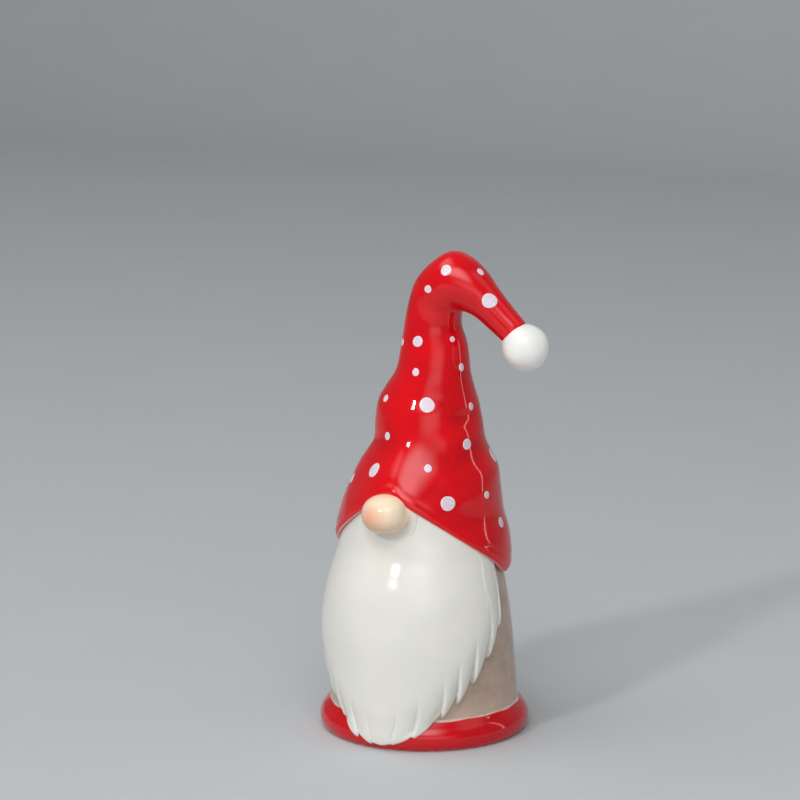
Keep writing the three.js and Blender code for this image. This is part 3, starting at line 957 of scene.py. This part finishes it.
def make_hat(red):
    """The hat from its hollow, round the rolled edge and up its side, to the tip in the pompom."""
    round_ = bearings(HAT_ROUND)
    edge = brim_edge(round_)
    depth, height = lip_at(round_)

    # Inside: the hollow above the coat, and the face against the coat.
    rings = [hat_side_point(round_, z, HAT_WALL) for z in np.linspace(HAT_CAVITY_END, COAT["top"] + 2, 10)]
    top = np.maximum(COAT["top"] + 1, edge + 0.5)
    rings.append(polar(round_, coat_radius(COAT["top"]), top + 0.5))
    rings.append(polar(round_, coat_radius(edge) - 0.2, edge + 0.45))

    # The rolled edge.
    under = hat_side_point(round_, edge, depth)
    rings.append(polar(round_, coat_radius(edge) - 0.2, edge + 0.3) * 0.5 + under * 0.5)
    around = np.zeros(HAT_ROUND)
    along = [around - 2] * len(rings)
    for t in np.linspace(0, 1, 18):
        climb = 1 - math.cos(t * math.pi / 2)
        inset = depth * (1 - quarter_round(climb, 1))
        rings.append(hat_side_point(round_, edge + climb * height, inset))
        along.append(around + climb * height)

    # The side, up to the neck, and then the bend.
    start = edge + height
    for t in np.linspace(0, 1, 112)[1:]:
        z = start + t * (NECK_HEIGHT - start)
        rings.append(hat_side_point(round_, z, 0))
        along.append(z - edge)
    for station in np.linspace(0, LAST_STATION, 106)[1:]:
        rings.append(hat_bend_point(station, round_))
        along.append(around + FAR)
    lead = np.radians(TIP_LEAD)
    tip_way = np.array([math.sin(lead), 0, math.cos(lead)])
    for share in (0.5, 1.0):
        ring = hat_bend_point(LAST_STATION, round_, share * (HAT_BEND[-1][3] - TIP_TUCK[1]))
        rings.append(ring + tip_way * TIP_TUCK[0] * share)
        along.append(around + FAR)
    rings, along = np.array(rings), np.array(along)

    # Even out the places where one stretch's curve meets the next.
    fixed = 31                   # rings up to the rolled edge, which stay as they are
    for step in (0.5, -0.515) * 30:
        middle = rings[fixed + 1:-3]
        rings[fixed + 1:-3] = middle + step * ((rings[fixed:-4] + rings[fixed + 2:-2]) / 2 - middle)

    # The crease above the rolled edge, and the unevenness of a shape pressed from clay.
    hub = rings.mean(1, keepdims=True)
    outward = rings - hub
    outward /= np.maximum(np.linalg.norm(outward, axis=-1, keepdims=True), 1e-6)
    crease = LIP["crease"] * bell(along - height - LIP["crease_gap"], LIP["crease_width"])
    swell = HAT_UNEVENNESS * unevenness(rings, 17.0, 8) * ease(along, 4, 12)
    rings = rings + outward * (swell - crease)[..., None]

    points, faces = loft(rings)
    marks = {"edge": np.append(np.abs(along).ravel(), [FAR, FAR])}
    hat = build("hat_skin", points, faces, ["hat_shell", "hat_tip"], red, marks)
    mark(hat, "hollow", hollowness(hat, 24))
    return hat


def make_pompom(white):
    """A ball drawn out towards the hat's tip, slightly lumpy."""
    turn, tilt = np.meshgrid(bearings(120), np.linspace(2, 160, 90), indexing="xy")
    tilt = np.radians(tilt)
    along = -np.cos(tilt) * np.where(np.cos(tilt) < 0, POMPOM["reach"], POMPOM["radius"])
    across = POMPOM["radius"] * np.sin(tilt)
    ball = polar(turn, across, along)
    lead = np.radians(TIP_LEAD + 180)
    x = ball[..., 0] * math.cos(lead) + ball[..., 2] * math.sin(lead)
    z = -ball[..., 0] * math.sin(lead) + ball[..., 2] * math.cos(lead)
    ball = np.stack([x, ball[..., 1], z], -1)
    lumps = 1 + POMPOM["lumps"] / POMPOM["radius"] * unevenness(ball, 9.0, 21)
    points, faces = loft(POMPOM_MIDDLE + ball * (lumps[..., None] - 0.01))
    marks = {"blush": np.zeros(len(points))}
    pompom = build("pompom_ball", points, faces, ["pompom"], white, marks)
    mark(pompom, "hollow", hollowness(pompom, 6))
    return pompom


def make_dots(hat):
    """Thin domed dabs of enamel that follow the hat's surface."""
    surface = BVHTree.FromObject(hat, bpy.context.evaluated_depsgraph_get())
    round_ = np.radians(bearings(36))
    points, faces, across = [], [], []
    draw = np.random.default_rng(4)
    centres = [(hat_side_point(b, z, 0.0), size) for z, b, size in SIDE_DOTS]
    centres += [(hat_bend_point(station, b), size) for station, b, size in BEND_DOTS]
    for centre, size in centres:
        place, normal, _, _ = surface.find_nearest(Vector(row_frame(centre)))
        side = normal.orthogonal().normalized()
        up = normal.cross(side)
        edge = 1 + 0.035 * np.sin(2 * round_ + draw.uniform(0, 6))
        edge = edge + 0.02 * np.sin(3 * round_ + draw.uniform(0, 6))
        rings = []
        for share, rise in DOT_LAYERS:
            ring = []
            for angle, wobble in zip(round_, edge):
                out = size * MM * share * wobble
                aside = side * (math.cos(angle) * out) + up * (math.sin(angle) * out)
                start = place + aside + normal * RAY_START
                hit, tilt, _, _ = surface.ray_cast(start, -normal, RAY_REACH)
                if hit is None:
                    hit, tilt, _, _ = surface.find_nearest(start)
                ring.append(np.array(hit + tilt * (rise * MM)) / MM - AXIS)
            rings.append(ring)
        made, skin = loft(rings)
        faces += [[corner + len(points) for corner in face] for face in skin]
        points += list(made)
        across += [share for share, _ in DOT_LAYERS for _ in round_] + [1.0, 0.0]
    return build("hat_dots", np.array(points), faces, [], dot_enamel(), {"across": across})


# ---------------------------------------------------------------- studio

# In metres, along Y and up. The sweep is far enough away to let a camera look from behind.
FLOOR = {"front": -2.0, "bend": 1.25, "radius": 0.45, "top": 2.4, "half_width": 3.0}
CAMERA = {"azimuth": 25.0, "elevation": 11.5, "distance": 1.0, "lens": 146.44, "sensor": 36.0}
AIM_SIDEWAYS = -7.6              # mm from the coat's axis, to the camera's right
AIM_HEIGHT = 103.0

# Bearing and elevation from the gnome, distance, width and height in metres, and power in watts.
LIGHTS = {
    "key": (-13, 31, 2.2, 0.20, 0.20, 12),
    "front": (22, 46, 1.6, 1.6, 1.5, 29),
    "panel": (31, 11, 1.6, 2.0, 1.0, 7.5),
    "side": (95, 48, 1.6, 1.3, 0.8, 2.0),
    "overhead": (-55, 64, 1.8, 2.2, 2.0, 30),
    "strip": (120, 10, 1.3, 0.05, 1.4, 0.9),
}
LIGHT_TARGET = Vector((0, 0, 0.075))
SOFTBOX_WIDTH = 0.5              # metres, beyond which a light is a softbox that fades out
SOFT_EDGE = 0.40                 # the share of a softbox's width over which it fades out
AMBIENT = {"color": (0.9, 0.93, 0.95, 1.0), "strength": 0.2}


def away_from(target, bearing, elevation, distance):
    """A point at that bearing and elevation as seen from the target."""
    flat = math.cos(math.radians(elevation))
    angle = math.radians(bearing)
    way = Vector((math.sin(angle) * flat, -math.cos(angle) * flat, math.sin(math.radians(elevation))))
    return target + way * distance


def aim(thing, target):
    thing.rotation_euler = (target - thing.location).to_track_quat("-Z", "Y").to_euler()


def make_floor():
    """A level floor that sweeps up behind the gnome into a plain backdrop."""
    arc = [math.radians(angle) for angle in range(0, 91, 6)]
    bend, radius = FLOOR["bend"], FLOOR["radius"]
    outline = [(FLOOR["front"], 0.0)]
    outline += [(bend + radius * math.sin(a), radius * (1 - math.cos(a))) for a in arc]
    outline += [(bend + radius, FLOOR["top"])]
    sides = (-FLOOR["half_width"], FLOOR["half_width"])
    points = [(x, y, z) for y, z in outline for x in sides]
    faces = [[i, i + 1, i + 3, i + 2] for i in range(0, len(points) - 2, 2)]
    mesh = bpy.data.meshes.new("floor")
    mesh.from_pydata(points, [], faces)
    mesh.shade_smooth()
    paint = Glaze("floor_paint")
    color = paint.blend(paint.noise(60.0, 3.0), (0.56, 0.585, 0.6), (0.53, 0.555, 0.57))
    mesh.materials.append(paint.finish(color, 0.62, paint.bump(paint.noise(1.5, 3.0), 0.02), 1.4))
    floor = bpy.data.objects.new("floor", mesh)
    bpy.context.scene.collection.objects.link(floor)


def soften_edges(lamp):
    """Fade a softbox out towards its edges."""
    lamp.use_nodes = True
    tree = lamp.node_tree
    across = tree.nodes.new("ShaderNodeSeparateXYZ")
    tree.links.new(tree.nodes.new("ShaderNodeNewGeometry").outputs["Parametric"], across.inputs[0])
    strength = None
    for axis in ("X", "Y"):
        offset = tree.nodes.new("ShaderNodeMath")
        offset.operation = "SUBTRACT"
        tree.links.new(across.outputs[axis], offset.inputs[0])
        offset.inputs[1].default_value = 0.5
        size = tree.nodes.new("ShaderNodeMath")
        size.operation = "ABSOLUTE"
        tree.links.new(offset.outputs[0], size.inputs[0])
        fade = tree.nodes.new("ShaderNodeMapRange")
        fade.interpolation_type = "SMOOTHSTEP"
        tree.links.new(size.outputs[0], fade.inputs["Value"])
        fade.inputs["From Min"].default_value = 0.5
        fade.inputs["From Max"].default_value = 0.5 - SOFT_EDGE
        if strength is not None:
            tree.links.new(strength, fade.inputs["To Max"])
        strength = fade.outputs["Result"]
    tree.links.new(strength, tree.nodes["Emission"].inputs["Strength"])


def make_lights():
    for name, (bearing, elevation, distance, width, height, power) in LIGHTS.items():
        lamp = bpy.data.lights.new(name, "AREA")
        lamp.shape = "RECTANGLE"
        lamp.size, lamp.size_y = width, height
        lamp.energy = power
        if min(width, height) > SOFTBOX_WIDTH:
            soften_edges(lamp)
        light = bpy.data.objects.new(name, lamp)
        light.location = away_from(LIGHT_TARGET, bearing, elevation, distance)
        aim(light, LIGHT_TARGET)
        bpy.context.scene.collection.objects.link(light)
    world = bpy.data.worlds.new("studio")
    world.use_nodes = True
    backdrop = world.node_tree.nodes["Background"]
    backdrop.inputs["Color"].default_value = AMBIENT["color"]
    backdrop.inputs["Strength"].default_value = AMBIENT["strength"]
    bpy.context.scene.world = world


def make_camera():
    azimuth = math.radians(CAMERA["azimuth"])
    sideways = np.array([math.cos(azimuth), math.sin(azimuth), 0]) * AIM_SIDEWAYS
    target = Vector(row_frame(sideways + (0, 0, AIM_HEIGHT)))
    lens = bpy.data.cameras.new("camera")
    lens.lens = CAMERA["lens"]
    lens.sensor_width = CAMERA["sensor"]
    camera = bpy.data.objects.new("camera", lens)
    camera.location = away_from(target, CAMERA["azimuth"], CAMERA["elevation"], CAMERA["distance"])
    aim(camera, target)
    bpy.context.scene.collection.objects.link(camera)
    bpy.context.scene.camera = camera


# ---------------------------------------------------------------- the scene

make_camera()
make_floor()
make_lights()
bpy.context.scene.view_settings.view_transform = "Standard"

red = red_glaze()
make_coat()
make_hem()
make_beard(white_glaze("white_glaze"))
make_nose()
hat = make_hat(red)
make_pompom(white_glaze("pompom_glaze", 0.7))
make_dots(hat)
